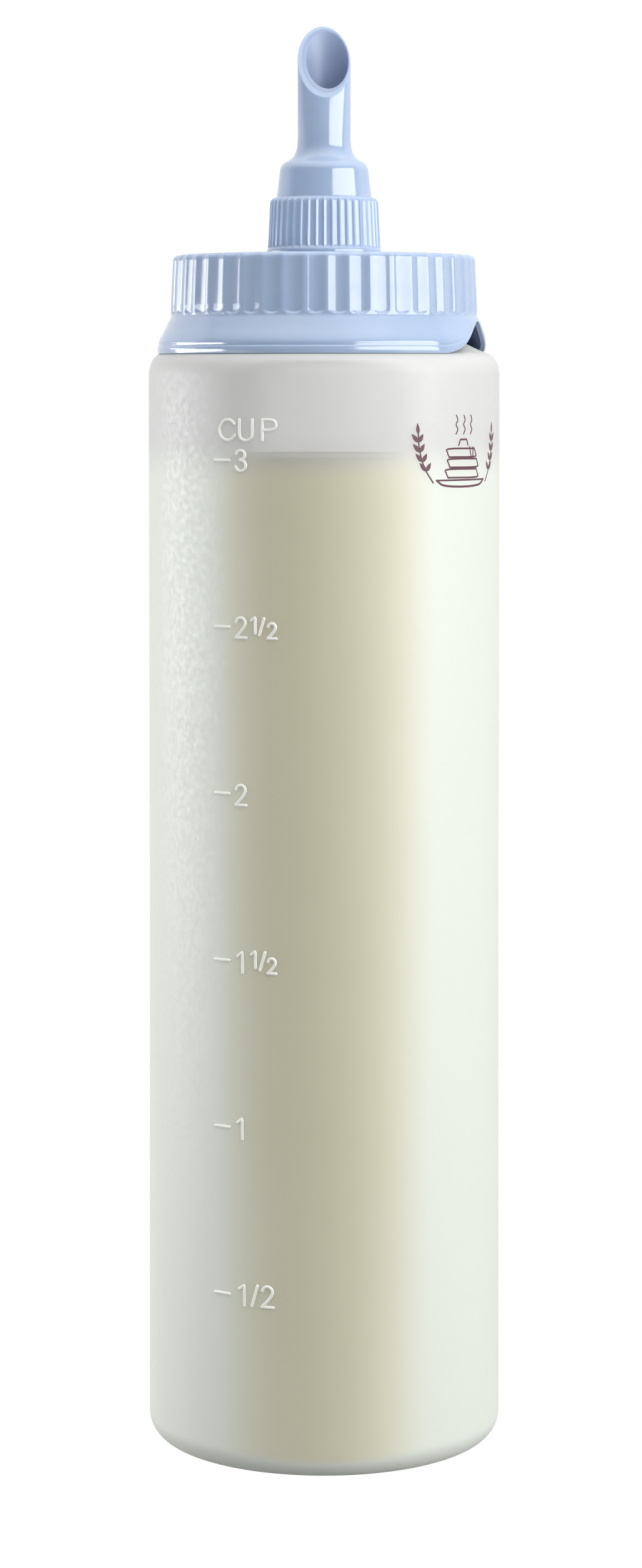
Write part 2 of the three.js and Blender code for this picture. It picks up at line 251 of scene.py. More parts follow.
def helix(root_r, crest_r, z, turns):
    """A helical thread of trapezoidal section, run out to nothing at both ends."""
    per_turn, run_out, sink = 96, 12, 0.4
    outward = math.copysign(1, crest_r - root_r)
    steps = round(turns * per_turn)
    base = root_r - outward * sink
    points, faces = [], []
    for k in range(steps + 1):
        share = min(1, k / run_out, (steps - k) / run_out)
        a = k / per_turn * TAU
        middle = z + k / per_turn * PITCH
        low_crest = base + outward * sink / 2
        crest = low_crest + (crest_r - low_crest) * share
        section = (
            (base, -THREAD_ROOT / 2),
            (crest, -THREAD_CREST / 2),
            (crest, THREAD_CREST / 2),
            (base, THREAD_ROOT / 2),
        )
        points += [(r * math.sin(a), -r * math.cos(a), middle + h) for r, h in section]
    for k in range(steps):
        for i in range(4):
            p, q = 4 * k + i, 4 * k + (i + 1) % 4
            faces.append((p, p + 4, q + 4, q))
    end = 4 * steps
    faces += [(3, 2, 1, 0), (end, end + 1, end + 2, end + 3)]
    return np.array(points), faces


# Materials
NOISE_LOW, NOISE_HIGH = 0.3, 0.7  # where most of a noise lies


def feed(tree, value, socket):
    """Set a socket to a plain value, or link another node's output to it."""
    if isinstance(value, bpy.types.NodeSocket):
        tree.links.new(value, socket)
    else:
        socket.default_value = value


def map_range(tree, value, span, smooth=False):
    """A number brought from the range span[:2] to the range span[2:]."""
    node = tree.nodes.new("ShaderNodeMapRange")
    if smooth:
        node.interpolation_type = "SMOOTHSTEP"
    for key, number in zip(("From Min", "From Max", "To Min", "To Max"), span):
        feed(tree, number, node.inputs[key])
    tree.links.new(value, node.inputs["Value"])
    return node.outputs["Result"]


def grain_group():
    """A node group: noise, with the roughness and the relief that go with it."""
    tree = bpy.data.node_groups.new("grain", "ShaderNodeTree")
    number, vector = "NodeSocketFloat", "NodeSocketVector"
    tree.interface.new_socket("Vector", in_out="INPUT", socket_type=vector)
    for name in ("Scale", "Detail", "Smooth", "Rough", "Depth", "Strength"):
        tree.interface.new_socket(name, in_out="INPUT", socket_type=number)
    tree.interface.new_socket("Fac", in_out="OUTPUT", socket_type=number)
    tree.interface.new_socket("Roughness", in_out="OUTPUT", socket_type=number)
    tree.interface.new_socket("Normal", in_out="OUTPUT", socket_type=vector)
    given = tree.nodes.new("NodeGroupInput").outputs
    result = tree.nodes.new("NodeGroupOutput").inputs
    noise = tree.nodes.new("ShaderNodeTexNoise")
    for name in ("Vector", "Scale", "Detail"):
        tree.links.new(given[name], noise.inputs[name])
    height = noise.outputs["Fac"]
    span = (NOISE_LOW, NOISE_HIGH, given["Smooth"], given["Rough"])
    relief = tree.nodes.new("ShaderNodeBump")
    tree.links.new(given["Depth"], relief.inputs["Distance"])
    tree.links.new(given["Strength"], relief.inputs["Strength"])
    tree.links.new(height, relief.inputs["Height"])
    tree.links.new(height, result["Fac"])
    tree.links.new(map_range(tree, height, span), result["Roughness"])
    tree.links.new(relief.outputs["Normal"], result["Normal"])
    return tree


GRAIN = grain_group()
COLOUR_A, COLOUR_B, COLOUR_OUT = 6, 7, 2  # a Mix node's colour sockets, which share names with others


class Shading:
    """A material's node tree, with short names for the nodes used here."""

    def __init__(self, name):
        self.material = bpy.data.materials.new(name)
        self.material.use_nodes = True
        self.tree = self.material.node_tree
        self.shader = self.tree.nodes["Principled BSDF"]
        self.where = self.new("TexCoord").outputs["Object"]

    def new(self, kind):
        return self.tree.nodes.new(f"ShaderNode{kind}")

    def set(self, **values):
        """Inputs of the shader by name, with _ for a space; a value or another node's output."""
        for key, value in values.items():
            feed(self.tree, value, self.shader.inputs[key.replace("_", " ")])

    def grain(self, scale, detail=2.0, smooth=0.0, rough=1.0, depth=0.0, strength=0.0):
        """The shared grain with its own values; its outputs are Fac, Roughness and Normal."""
        node = self.new("Group")
        node.node_tree = GRAIN
        names = ("Vector", "Scale", "Detail", "Smooth", "Rough", "Depth", "Strength")
        for name, value in zip(names, (self.where, scale, detail, smooth, rough, depth, strength)):
            feed(self.tree, value, node.inputs[name])
        return node.outputs

    def axis(self, name):
        split = self.new("SeparateXYZ")
        feed(self.tree, self.where, split.inputs["Vector"])
        return split.outputs[name]

    def share(self, value, low, high, smooth=False):
        """0 at low, 1 at high."""
        return map_range(self.tree, value, (low, high, 0.0, 1.0), smooth)

    def between(self, share, first, second):
        """A number between two, each a number or another node's output."""
        node = self.new("Mix")
        for value, name in ((share, "Factor"), (first, "A"), (second, "B")):
            feed(self.tree, value, node.inputs[name])
        return node.outputs["Result"]

    def grazing(self, low, high):
        """0 where the surface faces the eye, 1 where it is seen at a low angle."""
        return self.share(self.new("LayerWeight").outputs["Facing"], low, high, smooth=True)

    def vector(self, operation, *values):
        node = self.new("VectorMath")
        node.operation = operation
        for value, socket in zip(values, node.inputs):
            feed(self.tree, value, socket)
        return node.outputs["Value" if operation == "LENGTH" else "Vector"]

    def from_line(self, x, y):
        """The distance from an upright line."""
        shifted = self.vector("SUBTRACT", self.where, (x, y, 0))
        return self.vector("LENGTH", self.vector("MULTIPLY", shifted, (1, 1, 0)))

    def mixed(self, share, first, second):
        """A colour between two, each an (r, g, b) or another node's output."""
        node = self.new("Mix")
        node.data_type = "RGBA"
        feed(self.tree, share, node.inputs["Factor"])
        for value, place in ((first, COLOUR_A), (second, COLOUR_B)):
            plain = isinstance(value, tuple)
            feed(self.tree, (*value, 1) if plain else value, node.inputs[place])
        return node.outputs[COLOUR_OUT]


def blue_plastic():
    """Glossy moulded polypropylene, pale blue, with faint flow marks, and painted shade inside the
    nozzle's bore.
    """
    s = Shading("blue_plastic")
    flow = s.grain(60, 3)["Roughness"]
    # Painted shade: the colour turns darker inside the nozzle's bore, where the tube's inner wall lies in
    # shade.
    from_bore = s.from_line(MOUTH_X / 2 * MM, MOUTH_Y / 2 * MM)
    bore = s.share(from_bore, (TUBE_BORE + 0.65) * MM, (TUBE_BORE + 0.45) * MM)
    gloss = s.grain(240, smooth=0.08, rough=0.15)["Roughness"]
    outside = s.mixed(flow, (0.315, 0.405, 0.565), (0.345, 0.435, 0.595))
    s.set(
        Base_Color=s.mixed(bore, outside, (0.27, 0.34, 0.49)),
        Roughness=s.between(bore, gloss, 0.5),
        Normal=s.grain(160, depth=0.00006, strength=0.5)["Normal"],
        IOR=1.8,
        Subsurface_Weight=0.3,
        Subsurface_Radius=(0.5, 0.7, 1.0),
        Subsurface_Scale=0.002,
    )
    return s.material


def frosted_plastic():
    """The bottle's wall: thin frosted polyethylene with a very fine satin grain, and painted light at its
    edges.
    """
    s = Shading("frosted_plastic")
    satin = s.grain(900, 3, 0.46, 0.6, 0.00008, 0.35)
    cloud = s.grain(40)["Fac"]
    over = s.mixed(cloud, (0.88, 0.885, 0.87), (0.94, 0.945, 0.93))
    behind = s.mixed(cloud, (0.84, 0.81, 0.60), (0.88, 0.85, 0.64))
    level = s.share(s.axis("Z"), (FILL_Z - 5) * MM, (FILL_Z + 4) * MM, smooth=True)
    # Where the wall is seen at a low angle its colour turns pale grey: partly the wall's own colour, with
    # more plastic in the line of sight there, partly painted light, a painted glow of light scattered
    # through the frosted edges.
    edge = s.grazing(0.01, 0.26)
    side = s.mixed(level, (0.665, 0.70, 0.64), (0.56, 0.565, 0.555))
    s.set(
        Base_Color=s.mixed(edge, s.mixed(level, behind, over), side),
        Roughness=satin["Roughness"],
        Normal=satin["Normal"],
        Alpha=s.between(edge, s.between(level, 0.5, 0.3), 0.88),
        IOR=1.9,
    )
    return s.material


def raised_plastic():
    """The raised marks, thicker and so a little whiter than the wall."""
    s = Shading("raised_plastic")
    satin = s.grain(700, 3, 0.3, 0.42, 0.00008, 0.3)
    s.set(
        Base_Color=s.mixed(satin["Fac"], (0.9, 0.91, 0.86), (0.96, 0.97, 0.92)),
        Roughness=satin["Roughness"],
        Normal=satin["Normal"],
        Alpha=0.75,
        IOR=1.8,
    )
    return s.material


def batter_material():
    """Thick batter against the wall: smooth, creamy, a little uneven."""
    s = Shading("batter_cream")
    cream = s.mixed(s.grain(25, 3)["Fac"], (0.68, 0.61, 0.37), (0.72, 0.65, 0.40))
    # Painted light: the top of the batter is painted paler, against the shade that the wall casts on the
    # batter seen through it.
    painted_top_light = s.share(s.axis("Z"), (FILL_Z - 9) * MM, (FILL_Z - 2) * MM, smooth=True)
    s.set(
        Base_Color=s.mixed(painted_top_light, cream, (0.93, 0.88, 0.79)),
        Roughness=0.5,
        Normal=s.grain(180, 3, depth=0.0002, strength=0.3)["Normal"],
        Subsurface_Weight=0.5,
        Subsurface_Radius=(1.0, 0.9, 0.6),
        Subsurface_Scale=0.008,
    )
    return s.material


def seal_material():
    """White foamed liner with fine pores."""
    s = Shading("seal_foam")
    pores = s.grain(1500, 3, 0.7, 0.85, 0.0001, 0.6)
    s.set(
        Base_Color=s.mixed(pores["Fac"], (0.72, 0.72, 0.69), (0.82, 0.82, 0.8)),
        Roughness=pores["Roughness"],
        Normal=pores["Normal"],
    )
    return s.material


def ink_material():
    """Dark plum print on the wall."""
    s = Shading("plum_ink")
    wear = s.grain(1200, 3, 0.35, 0.5, 0.00003, 0.4)
    s.set(
        Base_Color=s.mixed(wear["Fac"], (0.07, 0.02, 0.035), (0.11, 0.035, 0.055)),
        Roughness=wear["Roughness"],
        Normal=wear["Normal"],
    )
    return s.material


BLUE = blue_plastic()
FROSTED = frosted_plastic()

# Bottle
DOME = [(0, 1), (0.55, 0.9), (0.8, 0.65), (0.95, 0.25), (1, 0)]
SHOULDER = [(0, 0), (0.14, 1.0), (0.5, 2.2), (1.1, 3.2), (2.1, 4.0), (4.2, 4.8)]
ROOT = [(1.4, 0.9), (0.3, 0.3), (0, -0.3)]
INNER_ROOT = [(0, 0), (0.5, 1.1), (2.5, 1.9)]
INNER_SHOULDER = [(4.6, 4.0), (2.6, 3.2), (1.4, 2.0), (WALL, -0.4)]


def dome(lift):
    """The pushed-up base, from the axis out to the standing ring."""
    return [(share * (RING_R - RING_WIDTH), PUSH_UP * height + lift) for share, height in DOME]


def wall_r(z):
    """Outer radius of the bottle's side."""
    return WAIST_R + (BODY_R - WAIST_R) * min(1, max(0, (z - WAIST_Z) / (SIDE_Z - WAIST_Z)))


def make_bottle():
    outer = [(BODY_R - inward, BODY_H + up) for inward, up in SHOULDER]
    outer += [(NECK_R + out, NECK_ROOT_Z - down) for out, down in ROOT]
    bore = NECK_R - NECK_WALL
    inner = [(bore + out, NECK_ROOT_Z - down) for out, down in INNER_ROOT]
    inner += [(BODY_R - inward, BODY_H + up) for inward, up in INNER_SHOULDER]
    profile = (
        dome(0)
        + arc(RING_R, FOOT_R, FOOT_R, -90, 0, 14)
        + [(WAIST_R, WAIST_Z), (BODY_R, SIDE_Z)]
        + curve_through(outer, 3)
        + [(NECK_R, MOUTH_Z - MOUTH_ROUND)]
        + [(NECK_R - MOUTH_ROUND, MOUTH_Z), (bore + MOUTH_ROUND, MOUTH_Z)]
        + [(bore, MOUTH_Z - MOUTH_ROUND)]
        + curve_through(inner, 2)
        + [(BODY_R - WALL, SIDE_Z), (WAIST_R - WALL, WAIST_Z)]
        + arc(RING_R, FOOT_R, FOOT_R - WALL, 0, -90, 10)
        + dome(WALL)[::-1]
    )
    neck_thread = helix(NECK_R, NECK_R + THREAD_DEPTH, THREAD_Z, NECK_TURNS)
    piece = add_object("bottle_shell", joined([turned(profile, BOTTLE_SIDES), neck_thread]), FROSTED)
    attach(piece, "bottle")
    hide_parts("bottle")


make_bottle()


# Batter
def make_batter():
    inset = WALL + GAP
    top_r = wall_r(FILL_Z) - inset
    profile = (
        dome(inset)
        + arc(RING_R, FOOT_R, FOOT_R - inset, -90, 0, 10)
        + [(WAIST_R - inset, WAIST_Z), (top_r, FILL_Z - 0.5), (top_r - 0.15, FILL_Z - 0.15)]
        + [(top_r - 0.5, FILL_Z), (20, FILL_Z), (0, FILL_Z)]
    )
    piece = add_object("batter_fill", turned(profile, BATTER_SIDES), batter_material())
    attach(piece, "bottle")
    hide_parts("batter")


make_batter()

# Cap
FLARE = np.array(
    [(0, 0.02), (0.11, 0.17), (0.28, 0.38), (0.45, 0.62), (0.61, 0.85), (0.73, 0.96), (0.87, 1), (1, 1)]
)


def flare_r(z):
    """Outer radius of the skirt at a height."""
    fine = np.array(curve_through(FLARE, 6))
    down = (FLARE_Z - np.asarray(z)) / (FLARE_Z - LIP_Z)
    return CAP_LOW_R + FLARE_OUT * np.interp(down, fine[:, 0], fine[:, 1])


def make_cap():
    """The fluted cap with its notched skirt, its inner thread and the spigot, as one closed skin."""
    count = FLUTES * FLUTE_STEPS
    az = math.radians(RIDGE_AZ) + np.arange(count) * TAU / count
    phase = (np.arange(count) % FLUTE_STEPS) / FLUTE_STEPS
    across = np.clip((phase - RIDGE_SHARE) / (1 - 2 * RIDGE_SHARE), 0, 1)
    hollow = FLUTE_DEPTH * np.sin(math.pi * across) ** 0.9
    off = (np.degrees(az) - NOTCH_AZ + 540) % 360 - 180
    off = np.where(off > 0, off / NOTCH_BACK_HALF, -off / NOTCH_HALF)
    notch = (1 + np.cos(math.pi * np.minimum(1, off))) / 2
    edge = LIP_Z + (NOTCH_TOP_Z - LIP_Z) * notch
    bead_top = edge + LIP_HEIGHT + (NOTCH_BEAD - LIP_HEIGHT) * notch

    def skirt(share, inset=0.0, lift=0.0):
        z = FLARE_Z + (bead_top - FLARE_Z) * share
        return ring(az, flare_r(z) - inset, z + lift)

    def bead(out, share):
        return ring(az, flare_r(bead_top) + out, edge + (bead_top - edge) * share)

    def fluted(r, z, fade):
        """A row over the flutes; each flute comes in from its middle as fade goes from 0 to 1."""
        middle = np.abs(phase - 0.5) * 2
        end = U_END * (1 - np.sqrt(1 - middle**2 * 0.98))
        return ring(az, r - hollow * smoothstep((fade - end) * 4), z)

    rows = [
        ring(az, SPIGOT_BORE, UNDER_Z),
        ring(az, CAP_BORE_R - 0.4, UNDER_Z),
        ring(az, CAP_BORE_R, UNDER_Z - 0.4),
        ring(az, CAP_BORE_R, FLARE_Z + 0.8),
        skirt(0.15, SKIRT_T, 0.2),
        skirt(0.3, SKIRT_T, 0.2),
        skirt(0.65, SKIRT_T, 0.2),
        bead(-SKIRT_T, 1),
        bead(0.2 - SKIRT_T, 0.1),
        bead(-0.6, 0),
        bead(-0.35, -0.1),
        bead(-0.15, -0.25),
        bead(0.03, -0.22),
        bead(0.1, 0.0),
        bead(0.12, 0.4),
        bead(0.09, 0.8),
        bead(0.02, 0.93),
        bead(-0.08, 1.0),
        skirt(0.96, 0.1),
        skirt(0.92, 0.02),
    ]
    rows += [skirt(share) for share in (0.88, 0.78, 0.66, 0.54, 0.42, 0.3, 0.18, 0.08)]
    rows.append(ring(az, CAP_LOW_R, FLARE_Z + 0.1))
    for fade in np.linspace(0.05, 1.15, 13):
        rows.append(fluted(CAP_LOW_R, FLARE_Z + 0.2 + FLUTE_FADE * fade, fade))
    rows.append(fluted((CAP_TOP_R + CAP_LOW_R) / 2, (FLARE_Z + FLUTE_FADE + DECK_Z) / 2, 2))
    rows.append(fluted(CAP_TOP_R + 0.01, DECK_Z - 1.35, 2))
    for angle in (0, 20, 40, 60, 80):
        a = math.radians(angle)
        r = CAP_TOP_R - EDGE_ROUND * (1 - math.cos(a))
        rows.append(fluted(r, DECK_Z - EDGE_ROUND * (1 - math.sin(a)), 2 - angle / 60))
    rows += [
        ring(az, CAP_TOP_R - 1.3, DECK_Z),
        ring(az, CAP_TOP_R - 4, DECK_Z),
        ring(az, SPIGOT_R + GAP, DECK_Z),
        ring(az, SPIGOT_R, DECK_Z + GAP),
        ring(az, SPIGOT_R, SPIGOT_TOP_Z - 0.5),
        ring(az, SPIGOT_R - 0.15, SPIGOT_TOP_Z - 0.15),
        ring(az, SPIGOT_R - 0.5, SPIGOT_TOP_Z),
        ring(az, SPIGOT_BORE + 0.2, SPIGOT_TOP_Z),
        ring(az, SPIGOT_BORE, SPIGOT_TOP_Z - 0.2),
    ]
    cap_thread = helix(CAP_BORE_R, NECK_R + THREAD_GAP, THREAD_Z + PITCH / 2, CAP_TURNS)
    piece = add_object("cap_shell", joined([skin(rows, closed=True), cap_thread]), BLUE)
    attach(piece, "cap")
    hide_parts("screw_cap")


make_cap()

# Nozzle
SWEEP = [(0, 0), (0.06, 0.1), (0.21, 0.21), (0.48, 0.3), (0.76, 0.43), (0.94, 0.68), (1, 1)]


def make_nozzle():
    """The ribbed grip, cone and tube, with the slanted mouth."""
    count = RIBS * RIB_STEPS
    az = np.arange(count) * TAU / count
    half = RIB_STEPS // 2
    from_crest = np.abs((np.arange(count) + half) % RIB_STEPS - half) / RIB_STEPS
    groove = RIB_HEIGHT * smoothstep(from_crest / 0.25)
    bore = SPIGOT_R + GAP
    stop = SPIGOT_TOP_Z + GAP

    def tube(r, z):
        return ring(az, r, z)

    def ribbed(r, z, share):
        return ring(az, r - groove * share, z)

    def rim(r, drop, shift=0.0):
        """A row in the plane of the cut, its middle moved by a share of the mouth's offset."""
        x = r * np.sin(az) + MOUTH_X * shift
        y = -r * np.cos(az) + MOUTH_Y * shift
        cut = math.radians(CUT_AZ)
        run = TUBE_R + x * math.sin(cut) - y * math.cos(cut)
        z = TIP_Z - math.tan(math.radians(CUT_DEG)) * run - drop
        return np.arctan2(x, -y), np.hypot(x, y), z

    def sweep(cone_r, tube_r, z):
        curve = curve_through(SWEEP, 3)
        return [tube(cone_r + (tube_r - cone_r) * inward, z + up * SWEEP_H) for inward, up in curve]

    rows = [
        tube(bore, GRIP_BASE_Z),
        tube(FOOT_BAND_R - 0.2, GRIP_BASE_Z),
        tube(FOOT_BAND_R - 0.05, GRIP_BASE_Z + 0.06),
        tube(FOOT_BAND_R, GRIP_BASE_Z + 0.2),
        tube(FOOT_BAND_R, GRIP_LOW_Z - 0.5),
        tube(FOOT_BAND_R - 0.06, GRIP_LOW_Z - 0.3),
        tube(GRIP_LOW_R + 0.02, GRIP_LOW_Z),
        ribbed(GRIP_LOW_R + 0.01, GRIP_LOW_Z + 0.12, 0.6),
        ribbed(GRIP_LOW_R, GRIP_LOW_Z + 0.28, 1),
        ribbed(GRIP_LOW_R - 0.02, GRIP_LOW_Z + 0.6, 1),
        ribbed(GRIP_TOP_R + 0.02, GRIP_TOP_Z - 0.3, 1),
        ribbed(GRIP_TOP_R, GRIP_TOP_Z, 1),
        ribbed(GRIP_TOP_R - 0.12, GRIP_TOP_Z + 0.3, 0.9),
        ribbed(GRIP_TOP_R - 0.4, GRIP_TOP_Z + 0.6, 0.5),
        tube(GRIP_TOP_R - 0.8, CONE_Z - 0.05),
        tube(GRIP_TOP_R - 1.0, CONE_Z),
        tube(CONE_LOW_R + 0.12, CONE_Z),
        tube(CONE_LOW_R + 0.03, CONE_Z + 0.05),
        tube(CONE_LOW_R, CONE_Z + 0.2),
        tube(CONE_LOW_R - 0.03, CONE_Z + 0.5),
        tube(CONE_TOP_R + 0.03, CONE_TOP_Z - 0.3),
    ]
    rows += sweep(CONE_TOP_R, TUBE_R, CONE_TOP_Z)
    rows += [
        rim(TUBE_R, MOUTH_EDGE),
        rim(TUBE_R - 0.04, 0.05),
        rim(TUBE_R - MOUTH_EDGE, 0),
        rim(TUBE_BORE + MOUTH_EDGE, 0, 1),
        rim(TUBE_BORE + 0.04, 0.05, 1),
        rim(TUBE_BORE, MOUTH_EDGE, 1),
        rim(TUBE_BORE, 4, 0.75),
        rim(TUBE_BORE, 10, 0),
    ]
    rows += sweep(CONE_TOP_R - CONE_WALL, TUBE_BORE, CONE_TOP_Z - CONE_WALL)[::-1]
    rows += [tube(CONE_LOW_R - CONE_WALL, stop), tube(bore, stop)]
    piece = add_object("nozzle_shell", skin(rows, closed=True), BLUE)
    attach(piece, "nozzle")
    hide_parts("nozzle")


make_nozzle()


# Strokes on the wall
def resampled(points, step):
    """A line's points, spread evenly along it."""
    points = np.array(points, float)
    lengths = np.concatenate([[0], np.cumsum(np.linalg.norm(np.diff(points, axis=0), axis=1))])
    at = np.linspace(0, lengths[-1], max(2, round(lengths[-1] / step) + 1))
    return np.stack([np.interp(at, lengths, points[:, k]) for k in (0, 1)], 1)


def on_wall(s, z, height):
    """A point on the wall from the distance round it from the front, z, and its height off it."""
    r = wall_r(z)
    return (r + height) * math.sin(s / r), -(r + height) * math.cos(s / r), z


def stroke(points, width, height, sink=0.06, arch=8):
    """A ridge of round section along a line of (s, z) points on the wall, with rounded ends."""
    line = resampled(points, width * 0.4)
    forward = np.gradient(line, axis=0)
    forward /= np.linalg.norm(forward, axis=1)[:, None]
    across = np.stack([-forward[:, 1], forward[:, 0]], 1)
    ends = [(math.sin(a), width / 2 * math.cos(a)) for a in np.radians((20, 45, 70))]
    stations = [(line[0] - forward[0] * past, across[0], size) for size, past in ends]
    stations += [(p, a, 1.0) for p, a in zip(line, across)]
    stations += [(line[-1] + forward[-1] * past, across[-1], size) for size, past in ends[::-1]]
    out = []
    for p, a, size in stations:
        for k in range(arch + 1):
            angle = math.pi * k / arch
            s, z = p + a * (width / 2 * size * math.cos(angle))
            rise = height * size * math.sin(angle)
            out.append(on_wall(s, z, rise - sink if k in (0, arch) else rise))
    n = arch + 1
    faces = []
    for i in range(len(stations) - 1):
        for k in range(n):
            p, q = i * n + k, i * n + (k + 1) % n
            faces.append((p, q, q + n, p + n))
    faces.append(tuple(range(n))[::-1])
    faces.append(tuple(range((len(stations) - 1) * n, len(stations) * n)))
    return np.array(out), faces


# Strokes of each sign in a box 1 high
LETTER_C = [(0.86, 0.8), (0.7, 0.95), (0.45, 1), (0.2, 0.9), (0.04, 0.68), (0, 0.48)]
LETTER_C += [(0.06, 0.25), (0.24, 0.06), (0.5, 0), (0.74, 0.08), (0.88, 0.24)]
LETTER_U = [(0, 1), (0, 0.34), (0.06, 0.12), (0.22, 0.01), (0.44, 0), (0.62, 0.1), (0.7, 0.34), (0.7, 1)]
LETTER_P = [(0, 1), (0.4, 1), (0.62, 0.93), (0.7, 0.76), (0.62, 0.58), (0.4, 0.5), (0, 0.5)]
FIGURE_2 = [(0.02, 0.78), (0.1, 0.93), (0.28, 1), (0.45, 0.94), (0.54, 0.77)]
FIGURE_2 += [(0.48, 0.56), (0.28, 0.3), (0, 0)]
SIGNS = {
    "C": [LETTER_C],
    "U": [LETTER_U],
    "P": [[(0, 0), (0, 1)], LETTER_P],
    "1": [[(0, 0.8), (0.26, 1), (0.27, 0)]],
    "2": [FIGURE_2, [(0, 0), (0.58, 0)]],
    "3": [
        [(0.02, 0.84), (0.12, 0.96), (0.28, 1), (0.45, 0.93), (0.5, 0.77), (0.42, 0.61), (0.24, 0.54)],
        [(0.24, 0.54), (0.45, 0.47), (0.55, 0.28), (0.48, 0.1), (0.28, 0), (0.1, 0.06), (0, 0.2)],
    ],
    "/": [[(0, 0), (0.3, 1)]],
}
CURVED = {("C", 0), ("U", 0), ("P", 1), ("2", 0), ("3", 0), ("3", 1)}

# Each sign's place: left edge round the wall from the front, foot, and height
MARKS = [
    ("C", -21.45, 199.8, 3.95),
    ("U", -16.95, 199.8, 3.95),
    ("P", -12.1, 199.8, 3.95),
    ("3", -17.75, 193.85, 3.95),
    ("2", -17.75, 161.7, 3.85),
    ("1", -14.4, 162.6, 3.1),
    ("/", -12.75, 162.3, 3.2),
    ("2", -11.0, 161.7, 2.9),
    ("2", -17.75, 129.4, 3.85),
    ("1", -17.35, 97.1, 3.95),
    ("1", -14.4, 98.2, 3.2),
    ("/", -12.6, 97.8, 3.5),
    ("2", -11.0, 97.3, 2.85),
    ("1", -17.4, 65.0, 3.95),
    ("1", -16.95, 33.0, 3.95),
    ("/", -14.3, 33.1, 3.95),
    ("2", -12.2, 33.1, 3.95),
]
DASH_Z = 34.9  # the half-cup mark, and one every half cup above it
DASHES = 6
HALF_CUP = 32.2
DASH = (-22.55, -19.2)
MARK_WIDTH = 0.62
MARK_HEIGHT = 0.26


def make_marks():
    shapes = []
    for sign, left, foot, size in MARKS:
        for k, points in enumerate(SIGNS[sign]):
            placed = [(left + x * size, foot + y * size) for x, y in points]
            if (sign, k) in CURVED:
                placed = curve_through(placed, 6)
            shapes.append(stroke(placed, MARK_WIDTH, MARK_HEIGHT))
    for k in range(DASHES):
        z = DASH_Z + k * HALF_CUP
        shapes.append(stroke([(DASH[0], z), (DASH[1], z)], MARK_WIDTH, MARK_HEIGHT))
    piece = add_object("raised_marks", joined(shapes), raised_plastic())
    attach(piece, "bottle")


make_marks()

# Print: a stack of pancakes between two ears of wheat
PRINT_S = 31.0
PRINT_Z = 197.5
INK_HEIGHT = 0.03
INK_WIDTH = 0.42
SLAB_ROUND = 0.4


def leaf(foot, tip, width):
    """A filled leaf or grain between two (s, z) points."""
    foot, tip = np.array(foot), np.array(tip)
    along = tip - foot
    side = np.array([-along[1], along[0]]) / np.linalg.norm(along)
    shares = np.linspace(0, 1, 9)
    half = width / 2 * np.sin(math.pi * shares**0.8)
    left = [foot + along * t + side * h for t, h in zip(shares, half)]
    right = [foot + along * t - side * h for t, h in zip(shares, half)]
    outline = left + right[-2:0:-1]
    n = len(outline)
    top = [on_wall(s, z, INK_HEIGHT) for s, z in outline]
    low = [on_wall(s, z, -INK_HEIGHT) for s, z in outline]
    faces = [tuple(range(n)), tuple(range(2 * n - 1, n - 1, -1))]
    faces += [(k, n + k, n + (k + 1) % n, (k + 1) % n) for k in range(n)]
    return np.array(top + low), faces


def make_print():
    def line(points, width=INK_WIDTH, curve=True):
        placed = [(PRINT_S + x, PRINT_Z + y) for x, y in points]
        if curve:
            placed = curve_through(placed, 6)
        shapes.append(stroke(placed, width, INK_HEIGHT, sink=INK_HEIGHT, arch=4))

    def slab(x, y, half, thick):
        """One pancake, from the side."""
        inner, middle = half - SLAB_ROUND, y + thick / 2
        for way, near, far in ((1, y, y + thick), (-1, y + thick, y)):
            start, turn = (x - way * inner, near), (x + way * inner, near)
            line([start, turn, (x + way * half, middle), (x + way * inner, far)])

    def kernel(mirror, foot, tip, width):
        ends = [(PRINT_S + mirror * x, PRINT_Z + y) for x, y in (foot, tip)]
        shapes.append(leaf(*ends, width))

    shapes = []
    line([(-7.5, -5.6), (-5.5, -6.6), (0, -6.9), (5.5, -6.6), (7.5, -5.6)], 0.5)
    line([(-7.5, -5.6), (7.5, -5.6)], curve=False)
    for k, shift in enumerate((0.0, 0.3, -0.2)):
        slab(shift, -5.1 + 2.0 * k, 4.9 - 0.25 * k, 1.6)
    line([(-1.4, 1.2), (-0.9, 2.3), (1.1, 2.3), (1.5, 1.2)], curve=False)
    line([(2.2, 0.8), (2.5, -0.6), (2.9, -1.6), (3.3, -0.7), (3.3, 0.7)])
    for x in (-2.2, 0.1, 2.4):
        line([(x, 3.4), (x + 0.5, 4.3), (x, 5.2), (x + 0.5, 6.1), (x + 0.1, 7.0)], 0.36)
    for mirror in (-1, 1):
        stem = [(8.4, -6.0), (10.4, -3.2), (11.6, 0.2), (11.9, 3.6)]
        line([(mirror * x, y) for x, y in stem], 0.4)
        for x, y in ((10.0, -3.8), (10.9, -2.0), (11.5, -0.1), (11.8, 1.8)):
            for lean in (-1, 1):
                kernel(mirror, (x, y), (x + lean * 1.35 + 0.3, y + 1.7), 0.9)
        kernel(mirror, (11.9, 3.4), (12.1, 5.6), 0.8)
    piece = add_object("wall_print", joined(shapes), ink_material())
    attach(piece, "bottle")


make_print()

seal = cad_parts["cap_seal"]
seal.data.materials.clear()
seal.data.materials.append(seal_material())

# Studio, in metres
WINDOW_AZ = 53
WINDOW_AWAY = 1.1
WINDOW_WIDTH = 1.35
WINDOW_LIGHT = 4.8
WINDOW_PANES = [("low", 0.12, 0.318), ("middle", 0.321, 0.328), ("high", 0.331, 0.7)]

